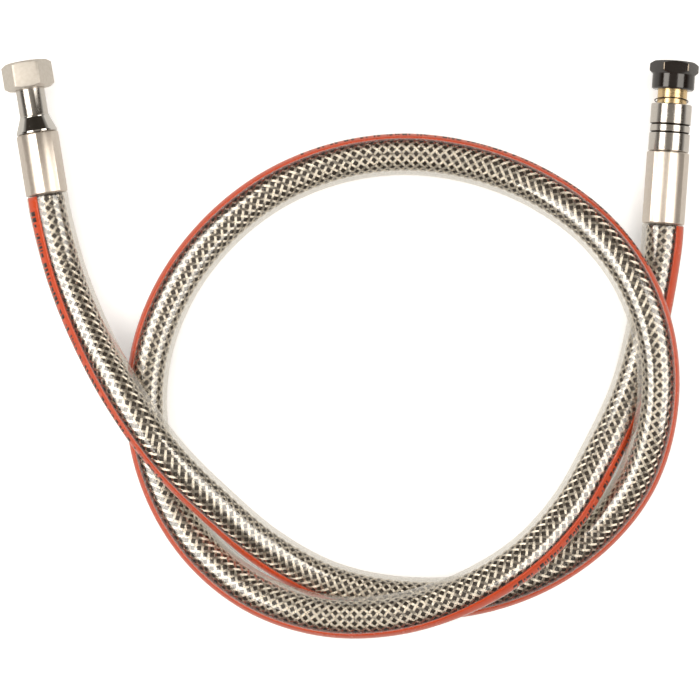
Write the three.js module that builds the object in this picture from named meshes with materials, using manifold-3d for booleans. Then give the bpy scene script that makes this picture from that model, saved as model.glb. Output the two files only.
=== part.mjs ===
// A flexible gas hose, lying on a table in one loose loop: a rubber hose with a steel braid under a clear
// sheath, and a crimped end fitting with a captive union nut on each end.
// Millimetres, +Z up. The origin is on the table, at the middle of the box round the two end fittings.
// Each fitting is built along its own +Y, from the mouth of its ferrule at y = 0 out to the open end of its nut.

import * as THREE from "three";
import { mergeVertices } from "three/addons/utils/BufferGeometryUtils.js";
import Module from "manifold-3d";

const wasm = await Module();
wasm.setup();

// Hose
const hoseDiameter = 22.4;
const hoseSides = 12;
const hoseSteps = 80;

// Gap between pieces that touch on the real hose
const clearance = 0.3;

// Barbed stems inside the hose
const stemDiameter = 13;
const stemBore = 9.5;
const barbDepth = 0.5;
const barbPitch = 5;
const stemInset = 2.5;
const lockGrooveDiameter = 14.6;
const lockLipThickness = 2.2;

// Crimped ferrules
const ferruleWall = 1.2;
const crimpFaces = 8;
const crimpDepth = 0.35;
const ferruleEdge = 0.6;
const leftFerruleLength = 33;
const leftFerruleDiameter = 22.6;
const rightFerruleLength = 38.7;
const rightFerruleDiameter = 22.8;

// Union joints: nut bores, sealing collars and gaskets
const threadBore = 18.6;
const threadRelief = 20.9;
const reliefWidth = 2.4;
const mouthChamfer = 0.9;
const nutLip = 2.6;
const collarDiameter = 18;
const collarThickness = 2.5;
const gasketDiameter = 17.8;
const gasketBore = 10.5;
const gasketThickness = 2;

// Left end: nickelled nut on a chromed tailpiece
const leftNutFlats = 24;
const leftNutHeight = 14.5;
const leftNutCorner = 2;
const leftNutChamfer = 1.4;
const leftNeckDiameter = 15.4;
const leftNeckLength = 15.5;
const leftConeLength = 7.4;
const leftConeLand = 1;
const leftFootRing = 0.35;

// Right end: black nut on a brass tailpiece, held in a chromed body
const rightNutFlats = 23;
const rightNutHexHeight = 7;
const rightNutCorner = 0.8;
const rightNutChamfer = 1.1;
const rightCollarDiameter = 22.7;
const rightCollarHeight = 8;
const rightCollarEdge = 0.7;
const rightNeckDiameter = 15.8;
const rightNeckLength = 7.8;
const bodyDiameter = 21.8;
const bodyTopLength = 10.6;
const bodyBandLength = 3.4;
const bodyBandDiameter = 21.2;
const bodyLowerLength = 9.6;
const bodyGrooveWidth = 0.9;
const bodyGrooveDepth = 0.7;
const bodyEdge = 0.4;
const socketDepth = 20.4;
const rollDepth = 0.4;
const sealWire = 1.8;
const sealBelowBand = 3.2;
const ringPlay = 0.7;
const ringWire = 0.6;
const ringTilt = 8;

// Where the mouth of each ferrule lies, and how far its fitting leans to the left
const leftMouth = { x: -162.5, y: -28, lean: 9.2 };
const rightMouth = { x: 168, y: -44, lean: -4.1 };

// The hose's route between the two mouths, along the table and three times over itself
const hoseRoute = [
  [-160.5, -39, 12],
  [-151.5, -72, 13.25],
  [-137.5, -105, 20.75],
  [-119.5, -136.5, 32],
  [-97.5, -167, 34.25],
  [-71, -194, 28],
  [-42.5, -218.5, 18.25],
  [-10.5, -236, 12.5],
  [26, -244, 11.25],
  [63.5, -243, 11.5],
  [100.5, -231, 11.25],
  [131.5, -209.5, 12.5],
  [152.5, -181.5, 19.75],
  [162.5, -147, 29.25],
  [162, -110, 34],
  [151, -76, 32.25],
  [130, -47, 25.75],
  [100.5, -25, 17.5],
  [66.5, -11.5, 12.5],
  [29.5, -6.5, 11.25],
  [-7.5, -11.5, 11.25],
  [-42, -26, 11.25],
  [-71.5, -49.5, 11.25],
  [-94, -80, 11.25],
  [-107, -115.5, 11.25],
  [-108.5, -152.5, 11.25],
  [-98.5, -188.5, 12.75],
  [-78.5, -219, 17],
  [-49, -241.5, 24.25],
  [-13, -252.5, 30.5],
  [24, -251.5, 33.75],
  [61, -240, 34],
  [93, -221, 30.5],
  [116.5, -196.5, 24.5],
  [134.5, -166.5, 16.75],
  [150.5, -133, 12],
  [160.5, -94.5, 11.25],
  [167.2, -55, 11.5],
];

// Facets round a turned piece, and round the section of a wire or a seal
const turnedFacets = 36;
const wireFacets = 8;

const satinNickel = { color: 0xd8cfc2, roughness: 0.38, metalness: 1 };
const polishedChrome = { color: 0xd4d2d0, roughness: 0.08, metalness: 1 };
const blackOxide = { color: 0x2b2725, roughness: 0.42, metalness: 0.8 };
const brass = { color: 0xd9a648, roughness: 0.22, metalness: 1 };
const fibre = { color: 0x3f5a4a, roughness: 0.85, metalness: 0 };
const sealRubber = { color: 0x1b1b1b, roughness: 0.7, metalness: 0 };
const springWire = { color: 0x33302c, roughness: 0.35, metalness: 1 };
const sheathedBraid = { color: 0xaaa394, roughness: 0.3, metalness: 0.5 };

// The manifold solid of a closed three.js geometry.
function solidOf(geometry) {
  const bare = geometry.index ? geometry.toNonIndexed() : geometry.clone();
  bare.deleteAttribute("normal");
  bare.deleteAttribute("uv");
  const merged = mergeVertices(bare, 1e-4);
  return new wasm.Manifold(
    new wasm.Mesh({
      numProp: 3,
      vertProperties: merged.attributes.position.array,
      triVerts: Uint32Array.from(merged.index.array),
    }),
  );
}

// The three.js geometry of a manifold solid.
function geometryOf(solid) {
  const mesh = solid.getMesh();
  const geometry = new THREE.BufferGeometry();
  geometry.setAttribute("position", new THREE.BufferAttribute(mesh.vertProperties, 3));
  geometry.setIndex(new THREE.BufferAttribute(mesh.triVerts, 1));
  geometry.computeVertexNormals();
  return geometry;
}

function piece(name, geometry, finish) {
  const mesh = new THREE.Mesh(geometry, new THREE.MeshStandardMaterial(finish));
  mesh.name = name;
  return mesh;
}

// Turns a closed outline of [radius, y] corners round the Y axis.
function turned(outline) {
  const points = outline.map(([radius, y]) => new THREE.Vector2(radius, y));
  if (THREE.ShapeUtils.area(points) < 0) points.reverse();
  points.push(points[0].clone());
  return new THREE.LatheGeometry(points, turnedFacets);
}

// Extrudes a flat shape along +Y, from y = 0.
function raised(shape, height, curveSegments) {
  const geometry = new THREE.ExtrudeGeometry(shape, { depth: height, bevelEnabled: false, curveSegments });
  return geometry.rotateX(-Math.PI / 2);
}

// A hexagon with rounded corners that lies on one of its flats.
function hexagon(flats, corner) {
  const inner = (flats / 2 - corner) / Math.cos(Math.PI / 6);
  const shape = new THREE.Shape();
  for (let side = 0; side < 6; side += 1) {
    const angle = (side * Math.PI) / 3;
    const x = inner * Math.cos(angle);
    const y = inner * Math.sin(angle);
    shape.absarc(x, y, corner, angle - Math.PI / 6, angle + Math.PI / 6, false);
  }
  shape.closePath();
  return shape;
}

// The crimping dies leave shallow faces with a ridge between each two.
function crimpedOutline(diameter) {
  const ridge = diameter / 2;
  const step = (2 * Math.PI) / crimpFaces;
  const pull = 2 * (ridge - crimpDepth) - ridge * Math.cos(step / 2);
  const shape = new THREE.Shape();
  shape.moveTo(0, ridge);
  for (let face = 0; face < crimpFaces; face += 1) {
    const middle = Math.PI / 2 + (face + 0.5) * step;
    const end = Math.PI / 2 + (face + 1) * step;
    shape.quadraticCurveTo(
      pull * Math.cos(middle),
      pull * Math.sin(middle),
      ridge * Math.cos(end),
      ridge * Math.sin(end),
    );
  }
  return shape;
}

// Outer diameter of the hose where a ferrule squeezes it.
function squeezedDiameter(ferruleDiameter) {
  return ferruleDiameter - 2 * crimpDepth - 2 * ferruleWall - 2 * clearance;
}

// The ferrule's shell, with a lip at its far end that locks into the groove behind the stem.
function ferrule(length, diameter) {
  const outer = diameter / 2;
  const inner = squeezedDiameter(diameter) / 2 + clearance;
  const lip = lockGrooveDiameter / 2 + clearance;
  const shell = turned([
    [inner + ferruleEdge / 2, 0],
    [outer - ferruleEdge, 0],
    [outer, ferruleEdge],
    [outer, length - ferruleEdge],
    [outer - ferruleEdge, length],
    [lip, length],
    [lip, length - lockLipThickness],
    [inner, length - lockLipThickness],
    [inner, ferruleEdge / 2],
  ]);
  const faces = raised(crimpedOutline(diameter), length, 4);
  return geometryOf(solidOf(faces).intersect(solidOf(shell)));
}

// Corners of a barbed stem, from the lock groove down to its tip inside the hose.
function stemOutline(ferruleLength) {
  const crest = stemDiameter / 2;
  const root = crest - barbDepth;
  const top = ferruleLength - 2 * lockLipThickness;
  const corners = [
    [lockGrooveDiameter / 2, top],
    [crest, top],
  ];
  for (let y = top - barbPitch / 2; y - barbPitch > stemInset; y -= barbPitch) {
    corners.push([root, y], [crest, y - barbPitch / 2], [crest, y - barbPitch / 2 - barbDepth]);
  }
  corners.push([root, stemInset + barbDepth], [root - barbDepth, stemInset]);
  return corners;
}

// Corners of a sealing collar and of the neck below it, down from the face that the gasket lies on.
function collarOutline(face, neckDiameter) {
  const under = face - collarThickness;
  return [
    [collarDiameter / 2, face],
    [collarDiameter / 2, under],
    [neckDiameter / 2, under],
  ];
}

// Corners of a union nut's bore, from its open mouth down through its lip.
function nutBoreOutline(height, neckDiameter) {
  const thread = threadBore / 2;
  const relief = threadRelief / 2;
  const reliefTop = nutLip + reliefWidth;
  const neckHole = neckDiameter / 2 + clearance;
  return [
    [thread + mouthChamfer, height],
    [thread, height - mouthChamfer],
    [thread, reliefTop + (relief - thread)],
    [relief, reliefTop],
    [relief, nutLip],
    [neckHole, nutLip],
    [neckHole, 0],
  ];
}

// The nickelled nut: one hexagon, chamfered at both ends.
function leftNutGeometry() {
  const flat = leftNutFlats / 2;
  const corner = flat / Math.cos(Math.PI / 6);
  const drop = (corner - flat) * Math.tan(Math.PI / 6) + leftNutChamfer / 2;
  const envelope = turned([
    [flat - leftNutChamfer / 2, 0],
    [corner, drop],
    [corner, leftNutHeight - drop],
    [flat - leftNutChamfer / 2, leftNutHeight],
    ...nutBoreOutline(leftNutHeight, leftNeckDiameter),
  ]);
  const prism = raised(hexagon(leftNutFlats, leftNutCorner), leftNutHeight, 6);
  return geometryOf(solidOf(prism).intersect(solidOf(envelope)));
}

// The black nut: a short hexagon at the open end over a round collar with a bevelled lower rim.
function rightNutGeometry() {
  const height = rightCollarHeight + rightNutHexHeight;
  const flat = rightNutFlats / 2;
  const corner = flat / Math.cos(Math.PI / 6);
  const drop = (corner - flat) * Math.tan(Math.PI / 6) + rightNutChamfer / 2;
  const collar = rightCollarDiameter / 2;
  const envelope = turned([
    [collar - rightCollarEdge, 0],
    [collar, rightCollarEdge],
    [collar, rightCollarHeight],
    [corner, rightCollarHeight + (corner - collar)],
    [corner, height - drop],
    [flat - rightNutChamfer / 2, height],
    ...nutBoreOutline(height, rightNeckDiameter),
  ]);
  const hexPart = raised(hexagon(rightNutFlats, rightNutCorner), rightNutHexHeight, 4);
  hexPart.translate(0, rightCollarHeight, 0);
  const collarPart = new THREE.CylinderGeometry(collar, collar, rightCollarHeight, turnedFacets);
  collarPart.translate(0, rightCollarHeight / 2, 0);
  const blank = solidOf(hexPart).add(solidOf(collarPart));
  return geometryOf(blank.intersect(solidOf(envelope)));
}

function gasket(y) {
  const outer = gasketDiameter / 2;
  const inner = gasketBore / 2;
  return turned([
    [inner, y],
    [outer, y],
    [outer, y + gasketThickness],
    [inner, y + gasketThickness],
  ]);
}

// Where each nut starts, and the collar's face inside it.
const leftNutFoot = leftFerruleLength + clearance + leftConeLand + leftConeLength + leftNeckLength;
const bodyFoot = rightFerruleLength + clearance;
const bodyBandFoot = bodyFoot + bodyLowerLength + bodyGrooveWidth;
const bodyTop = bodyBandFoot + bodyBandLength + bodyGrooveWidth + bodyTopLength;
const rightNutFoot = bodyTop + rightNeckLength;

function collarFace(nutFoot) {
  return nutFoot + nutLip + clearance + collarThickness;
}

// The chromed tailpiece: collar, long neck, foot ring, mirror cone, lock groove and barbed stem, all one turning.
function leftTailpieceGeometry() {
  const face = collarFace(leftNutFoot);
  const neck = leftNeckDiameter / 2;
  const shoulder = leftFerruleDiameter / 2 - crimpDepth;
  const coneFoot = leftFerruleLength + clearance;
  const coneTop = coneFoot + leftConeLand + leftConeLength;
  return turned([
    ...collarOutline(face, leftNeckDiameter),
    [neck, coneTop + leftFootRing],
    [neck + leftFootRing, coneTop],
    [shoulder, coneFoot + leftConeLand],
    [shoulder, coneFoot],
    [lockGrooveDiameter / 2, coneFoot],
    ...stemOutline(leftFerruleLength),
    [stemBore / 2, stemInset],
    [stemBore / 2, face],
  ]);
}

// Corners of one rolled groove in the outside of the body, going down.
function rolledGroove(top, above, below) {
  const floor = Math.min(above, below) - bodyGrooveDepth;
  return [
    [above, top],
    [floor, top - bodyGrooveWidth / 3],
    [floor, top - (2 * bodyGrooveWidth) / 3],
    [below, top - bodyGrooveWidth],
  ];
}

// Corners of the bead that a rolled groove leaves inside the body's socket, going up.
function rolledBead(bottom, wall) {
  return [
    [wall, bottom],
    [wall - rollDepth, bottom + bodyGrooveWidth / 3],
    [wall - rollDepth, bottom + (2 * bodyGrooveWidth) / 3],
    [wall, bottom + bodyGrooveWidth],
  ];
}

// The chromed body: a socket for the brass tailpiece above, a lock groove and a barbed stem below.
function rightBodyGeometry() {
  const outer = bodyDiameter / 2;
  const band = bodyBandDiameter / 2;
  const socket = rightNeckDiameter / 2 + clearance;
  const upperGroove = bodyTop - bodyTopLength;
  return turned([
    [outer - bodyEdge, bodyTop],
    [outer, bodyTop - bodyEdge],
    ...rolledGroove(upperGroove, outer, band),
    ...rolledGroove(bodyBandFoot, band, outer),
    [outer, bodyFoot + bodyEdge],
    [outer - bodyEdge, bodyFoot],
    [lockGrooveDiameter / 2, bodyFoot],
    ...stemOutline(rightFerruleLength),
    [stemBore / 2, stemInset],
    [stemBore / 2, bodyTop - socketDepth],
    [socket, bodyTop - socketDepth],
    ...rolledBead(bodyBandFoot - bodyGrooveWidth, socket),
    ...rolledBead(upperGroove - bodyGrooveWidth, socket),
    [socket, bodyTop],
  ]);
}

// Middle of the rubber seal in the socket, below the rolled band.
const sealHeight = bodyBandFoot - bodyGrooveWidth - sealBelowBand;
const sealRadius = rightNeckDiameter / 2 - sealWire / 2;

// The brass tailpiece: collar and neck, then a waist under the rolled beads and a groove for the seal.
function rightTailpieceGeometry() {
  const face = collarFace(rightNutFoot);
  const neck = rightNeckDiameter / 2;
  const waist = neck - rollDepth;
  const waistTop = bodyBandFoot + bodyBandLength + bodyGrooveWidth + clearance;
  const waistFoot = bodyBandFoot - bodyGrooveWidth - clearance;
  const grooveHalf = sealWire / 2 + clearance;
  const grooveFloor = sealRadius - sealWire / 2 - clearance;
  const foot = bodyTop - socketDepth + clearance;
  return turned([
    ...collarOutline(face, rightNeckDiameter),
    [neck, waistTop + rollDepth],
    [waist, waistTop],
    [waist, waistFoot],
    [neck, waistFoot - rollDepth],
    [neck, sealHeight + grooveHalf],
    [grooveFloor, sealHeight + grooveHalf],
    [grooveFloor, sealHeight - grooveHalf],
    [neck, sealHeight - grooveHalf],
    [neck, foot + bodyEdge],
    [neck - bodyEdge, foot],
    [stemBore / 2, foot],
    [stemBore / 2, face],
  ]);
}

// A round wire or seal bent into a closed ring about the Y axis.
function wireRing(radius, wire, facetsRound) {
  return new THREE.TorusGeometry(radius, wire / 2, wireFacets, facetsRound).rotateX(Math.PI / 2);
}

// The loose ring hangs on the brass neck and leans on the body's top edge.
function rightWireRing() {
  const radius = rightNeckDiameter / 2 + ringPlay + ringWire / 2;
  const slack = ringPlay - clearance;
  const lean = THREE.MathUtils.degToRad(ringTilt);
  const ring = piece("right_wire_ring", wireRing(radius, ringWire, turnedFacets), springWire);
  const rise = (radius + ringWire / 2) * Math.sin(lean) + ringWire / 2;
  ring.position.set(-slack * Math.SQRT1_2, bodyTop + clearance + rise, -slack * Math.SQRT1_2);
  ring.rotation.x = -lean;
  return ring;
}

function nutAt(name, geometry, foot, finish) {
  const nut = piece(name, geometry, finish);
  nut.position.y = foot;
  return nut;
}

function leftFitting() {
  const group = new THREE.Group();
  const face = collarFace(leftNutFoot);
  group.add(nutAt("left_nut", leftNutGeometry(), leftNutFoot, satinNickel));
  group.add(piece("left_gasket", gasket(face + clearance), fibre));
  group.add(piece("left_tailpiece", leftTailpieceGeometry(), polishedChrome));
  group.add(piece("left_ferrule", ferrule(leftFerruleLength, leftFerruleDiameter), satinNickel));
  return group;
}

function rightFitting() {
  const group = new THREE.Group();
  const face = collarFace(rightNutFoot);
  const seal = piece("right_o_ring", wireRing(sealRadius, sealWire, turnedFacets / 2), sealRubber);
  seal.position.y = sealHeight;
  group.add(nutAt("right_nut", rightNutGeometry(), rightNutFoot, blackOxide));
  group.add(piece("right_gasket", gasket(face + clearance), fibre));
  group.add(piece("right_tailpiece", rightTailpieceGeometry(), brass));
  group.add(seal);
  group.add(rightWireRing());
  group.add(piece("right_body", rightBodyGeometry(), polishedChrome));
  group.add(piece("right_ferrule", ferrule(rightFerruleLength, rightFerruleDiameter), satinNickel));
  return group;
}

// Lays a fitting on the table on a flat of its nut.
function layDown(fitting, mouth, nutFlats) {
  fitting.position.set(mouth.x, mouth.y, nutFlats / 2);
  fitting.rotation.z = THREE.MathUtils.degToRad(mouth.lean);
  fitting.updateMatrixWorld(true);
  return fitting;
}

// The squeezed end of the hose inside a ferrule, with the socket that its barbed stem fills.
function hoseEnd(ferruleLength, ferruleDiameter) {
  const outer = squeezedDiameter(ferruleDiameter) / 2;
  const inner = stemDiameter / 2 + clearance;
  const end = ferruleLength - lockLipThickness - clearance;
  return turned([
    [inner, -hoseDiameter / 8],
    [outer, -hoseDiameter / 8],
    [outer, end],
    [lockGrooveDiameter / 2 + clearance, end],
    [lockGrooveDiameter / 2 + clearance, ferruleLength - 2 * lockLipThickness - clearance],
    [inner, ferruleLength - 2 * lockLipThickness - clearance],
  ]);
}

// The hose runs at full width from one ferrule's mouth to the other's, and on inside both.
function hoseGeometry(left, right) {
  const start = left.localToWorld(new THREE.Vector3(0, -clearance, 0));
  const finish = right.localToWorld(new THREE.Vector3(0, -clearance, 0));
  const along = hoseRoute.map(([x, y, z]) => new THREE.Vector3(x, y, z));
  const route = new THREE.CatmullRomCurve3([start, ...along, finish], false, "centripetal");
  route.arcLengthDivisions = 20 * hoseSteps;
  const section = new THREE.Shape(
    Array.from({ length: hoseSides }, (_, side) => {
      const angle = (2 * Math.PI * side) / hoseSides;
      return new THREE.Vector2(Math.cos(angle), Math.sin(angle)).multiplyScalar(hoseDiameter / 2);
    }),
  );
  const tube = new THREE.ExtrudeGeometry(section, { extrudePath: route, steps: hoseSteps });
  const leftEnd = hoseEnd(leftFerruleLength, leftFerruleDiameter).applyMatrix4(left.matrixWorld);
  const rightEnd = hoseEnd(rightFerruleLength, rightFerruleDiameter).applyMatrix4(right.matrixWorld);
  return geometryOf(solidOf(tube).add(solidOf(leftEnd)).add(solidOf(rightEnd)));
}

const gasHose = new THREE.Group();
const left = layDown(leftFitting(), leftMouth, leftNutFlats);
const right = layDown(rightFitting(), rightMouth, rightNutFlats);
gasHose.add(left, right, piece("hose", hoseGeometry(left, right), sheathedBraid));

export default gasHose;
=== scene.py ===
# %% [markdown]
# # A flexible gas hose
#
# The object is a gas hose for a cooker or a boiler. A rubber hose is wrapped in a braid of stainless steel
# wire, and the braid is covered by a clear PVC sheath with an orange stripe. Each end has a steel ferrule,
# crimped on, and a union nut that turns freely. It lies on a white table in one loose loop.
#
# The CAD model is the frame: it gives every size and place, and its pieces are what moves. This script
# dresses it. The camera and the hose come first, because they decide what the picture can show.

# %% Load the frame
import math

import bpy
import numpy as np
from mathutils import Matrix, Vector


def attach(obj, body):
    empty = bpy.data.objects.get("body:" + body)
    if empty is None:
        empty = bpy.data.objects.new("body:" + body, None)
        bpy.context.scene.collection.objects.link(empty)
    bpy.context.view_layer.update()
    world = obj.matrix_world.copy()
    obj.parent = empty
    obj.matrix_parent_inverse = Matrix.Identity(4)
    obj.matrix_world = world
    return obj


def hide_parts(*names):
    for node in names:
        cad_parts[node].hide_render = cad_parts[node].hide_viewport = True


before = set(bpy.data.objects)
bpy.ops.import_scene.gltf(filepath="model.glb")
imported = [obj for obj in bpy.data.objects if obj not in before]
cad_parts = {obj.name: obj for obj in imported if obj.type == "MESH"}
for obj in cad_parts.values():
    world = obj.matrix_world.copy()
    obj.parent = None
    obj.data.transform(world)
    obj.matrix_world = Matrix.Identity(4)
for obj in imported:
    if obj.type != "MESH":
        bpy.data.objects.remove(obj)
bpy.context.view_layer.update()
MM = 0.001

# %% [markdown]
# ## The camera
#
# The photograph was taken from straight above. A camera could be tilted to show the fittings' sides, but the
# two nuts show nothing of their mouths, so it looked straight down. It hangs 1.8 m over the table, which is
# far enough for the raised parts of the loop to grow by only 2%, and its view is 378 mm wide on the table.

# %% Camera
CAMERA_HEIGHT = 1.8
VIEW_WIDTH = 0.378
VIEW_CENTRE = (0.0, -0.1115)
SENSOR_WIDTH = 36.0

camera_data = bpy.data.cameras.new("camera")
camera_data.sensor_width = SENSOR_WIDTH
camera_data.lens = SENSOR_WIDTH * CAMERA_HEIGHT / VIEW_WIDTH
camera = bpy.data.objects.new("camera", camera_data)
camera.location = (*VIEW_CENTRE, CAMERA_HEIGHT)
bpy.context.scene.collection.objects.link(camera)
bpy.context.scene.camera = camera
print(f"lens {camera_data.lens:.1f} mm")

# %% [markdown]
# ## The route of the hose
#
# A hose this stiff lies in wide bends. It leaves the left ferrule, passes over its own loop, runs along the
# bottom and up the right side, round the top, and back under itself to the right ferrule. The route could be
# a Blender curve, but the braid's wires have to be worked out round it, so it is kept as points.
#
# The points are the CAD model's own, in millimetres. The line's two ends lie just outside the mouths of the
# ferrules, by the clearance that the CAD model leaves between pieces.

# %% Route points
LEFT_MOUTH = {"x": -162.5, "y": -28.0, "lean": 9.2, "flats": 24.0}
RIGHT_MOUTH = {"x": 168.0, "y": -44.0, "lean": -4.1, "flats": 23.0}
CLEARANCE = 0.3
INNER_POINTS = [
    (-160.5, -39, 12), (-151.5, -72, 13.25), (-137.5, -105, 20.75), (-119.5, -136.5, 32),
    (-97.5, -167, 34.25), (-71, -194, 28), (-42.5, -218.5, 18.25), (-10.5, -236, 12.5),
    (26, -244, 11.25), (63.5, -243, 11.5), (100.5, -231, 11.25), (131.5, -209.5, 12.5),
    (152.5, -181.5, 19.75), (162.5, -147, 29.25), (162, -110, 34), (151, -76, 32.25),
    (130, -47, 25.75), (100.5, -25, 17.5), (66.5, -11.5, 12.5), (29.5, -6.5, 11.25),
    (-7.5, -11.5, 11.25), (-42, -26, 11.25), (-71.5, -49.5, 11.25), (-94, -80, 11.25),
    (-107, -115.5, 11.25), (-108.5, -152.5, 11.25), (-98.5, -188.5, 12.75), (-78.5, -219, 17),
    (-49, -241.5, 24.25), (-13, -252.5, 30.5), (24, -251.5, 33.75), (61, -240, 34),
    (93, -221, 30.5), (116.5, -196.5, 24.5), (134.5, -166.5, 16.75), (150.5, -133, 12),
    (160.5, -94.5, 11.25), (167.2, -55, 11.5),
]


def fitting_frame(mouth):
    """The matrix that lays a fitting down: it is modelled upright, with its ferrule's mouth at the origin."""
    place = Matrix.Translation((mouth["x"] * MM, mouth["y"] * MM, mouth["flats"] / 2 * MM))
    lean = Matrix.Rotation(math.radians(mouth["lean"]), 4, "Z")
    lay = Matrix.Rotation(-math.pi / 2, 4, "X")
    return place @ lean @ lay


LEFT = fitting_frame(LEFT_MOUTH)
RIGHT = fitting_frame(RIGHT_MOUTH)
ends = [np.array(side @ Vector((0, 0, -CLEARANCE * MM))) for side in (LEFT, RIGHT)]
route = np.array([ends[0], *(np.array(p) * MM for p in INNER_POINTS), ends[1]])
print(len(route), "route points from", ends[0].round(4), "to", ends[1].round(4))

# %% [markdown]
# ## From points to a line
#
# The CAD tube follows a centripetal Catmull-Rom curve through the points, so the same curve is worked out
# here. It passes through every point and swings out less between them than a plain one does.

# %% Curve through the points
STEPS_PER_SPAN = 60


def catmull_rom(points):
    """Points on the centripetal Catmull-Rom curve through these, closely spaced."""
    ringed = np.vstack([2 * points[0] - points[1], points, 2 * points[-1] - points[-2]])
    gaps = np.linalg.norm(np.diff(ringed, axis=0), axis=1) ** 0.5
    t = np.linspace(0, 1, STEPS_PER_SPAN, endpoint=False)[:, None]
    curve = []
    for i in range(len(points) - 1):
        p0, p1, p2, p3 = ringed[i : i + 4]
        d0, d1, d2 = gaps[i : i + 3]
        t1 = ((p1 - p0) / d0 - (p2 - p0) / (d0 + d1) + (p2 - p1) / d1) * d1
        t2 = ((p2 - p1) / d1 - (p3 - p1) / (d1 + d2) + (p3 - p2) / d2) * d1
        curve.append(p1 + t1 * t + (3 * (p2 - p1) - 2 * t1 - t2) * t**2 + (2 * (p1 - p2) + t1 + t2) * t**3)
    return np.vstack([*curve, points[-1:]])


line = catmull_rom(route)
distance = np.concatenate([[0], np.cumsum(np.linalg.norm(np.diff(line, axis=0), axis=1))])
HOSE_LENGTH = float(distance[-1])
print(f"hose between the ferrules: {HOSE_LENGTH / MM:.0f} mm")

# %% [markdown]
# ## Places on the hose
#
# Every layer of the hose is placed by three numbers: how far along the line it is, the angle round it from
# the top, and the distance from its middle. The angle counts from straight up towards the right of the
# direction of travel, so the stripe can be put where the photograph shows it. Before its start and past its
# end the line runs straight on, into the ferrules.

# %% Places on the hose
def unit(vectors):
    """The same directions at length 1."""
    return vectors / np.linalg.norm(vectors, axis=1)[:, None]


heading = unit(np.gradient(line, distance, axis=0))
rightward = unit(np.cross(heading, [0.0, 0.0, 1.0]))
upward = np.cross(rightward, heading)


def along(s, values):
    """Values known along the line, read at the distances s."""
    return np.stack([np.interp(s, distance, values[:, i]) for i in range(3)], axis=-1)


def on_hose(s, angle, radius):
    """Points at distance s along the hose, at an angle from its top, and at a radius from its middle."""
    s, angle, radius = np.broadcast_arrays(s, angle, radius)
    beyond = s - np.clip(s, 0, HOSE_LENGTH)
    middle = along(s, line) + beyond[..., None] * along(s, heading)
    out = np.cos(angle)[..., None] * along(s, upward) + np.sin(angle)[..., None] * along(s, rightward)
    return middle + radius[..., None] * out


print("directions known at", len(heading), "points of the line")

# %% [markdown]
# ## Finishes
#
# A material is a small tree of nodes. One function adds a node, sets it and links it, so that each finish
# below reads as a list of what it is made of. Colours are written as they look on a screen and turned to the
# linear values that Blender works in.

# %% Nodes and colours
def paint(code):
    """The linear colour of a screen colour such as #C0FFEE."""
    channels = [int(code[i : i + 2], 16) / 255 for i in (1, 3, 5)]
    return (*(c / 12.92 if c <= 0.04045 else ((c + 0.055) / 1.055) ** 2.4 for c in channels), 1.0)


def add(tree, kind, inputs=None, **settings):
    """Adds a node with its settings. Each input is a value, or another node's output to link."""
    made = tree.nodes.new(kind)
    for name, value in settings.items():
        setattr(made, name, value)
    for socket, value in (inputs or {}).items():
        if isinstance(value, bpy.types.NodeSocket):
            tree.links.new(value, made.inputs[socket])
        else:
            made.inputs[socket].default_value = value
    return made


def bare_material(name):
    """A material with no nodes yet, and its node tree."""
    material = bpy.data.materials.new(name)
    material.use_nodes = True
    material.node_tree.nodes.clear()
    return material, material.node_tree


# %% [markdown]
# ### Opaque finishes
#
# No real surface is the same all over. Its colour wanders between two near tones in soft patches, and its
# gloss and relief follow a grain that may be finer. A picture could carry that, but a noise pattern needs no
# file and has no seam. It reads Object coordinates, which are metres on every piece, so a grain of 0.8 mm is
# a scale of one over 0.8 mm. Noise keeps near its middle, so only its values from 0.3 to 0.7 are spread over
# the range of roughness.
#
# A Mix node has one set of inputs for each kind of value, all under the same names, so the two colours and
# the result are picked by number.

# %% Opaque finishes
MIX_FIRST, MIX_SECOND, MIX_RESULT = 6, 7, 2
NOISE_LOW, NOISE_HIGH = 0.3, 0.7


def opaque_finish(name, first, second, rough, patches, grain=None, bump_mm=0.0, **fixed):
    """A finish between two colours, with a roughness that is one number or a range.

    patches and grain are noise patterns: a size in millimetres, a detail and a roughness of the noise.
    With no grain, gloss and relief follow the patches. What is fixed is set on the shader's own sockets.
    """
    material, tree = bare_material(name)
    place = add(tree, "ShaderNodeTexCoord").outputs["Object"]
    noises = []
    for size_mm, detail, roughness in filter(None, (patches, grain)):
        settings = {"Vector": place, "Scale": 1 / (size_mm * MM), "Detail": detail, "Roughness": roughness}
        noises.append(add(tree, "ShaderNodeTexNoise", settings).outputs["Fac"])
    colours = {"Factor": noises[0], MIX_FIRST: paint(first), MIX_SECOND: paint(second)}
    inputs = {
        "Base Color": add(tree, "ShaderNodeMix", colours, data_type="RGBA").outputs[MIX_RESULT],
        "Roughness": rough,
        **fixed,
    }
    if isinstance(rough, tuple):
        span = {"From Min": NOISE_LOW, "From Max": NOISE_HIGH, "To Min": rough[0], "To Max": rough[1]}
        inputs["Roughness"] = add(tree, "ShaderNodeMapRange", {"Value": noises[-1], **span}).outputs["Result"]
    if bump_mm:
        relief = {"Height": noises[-1], "Distance": bump_mm * MM, "Strength": 1.0}
        inputs["Normal"] = add(tree, "ShaderNodeBump", relief).outputs["Normal"]
    shader = add(tree, "ShaderNodeBsdfPrincipled", inputs).outputs["BSDF"]
    add(tree, "ShaderNodeOutputMaterial", {"Surface": shader})
    return material


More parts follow.
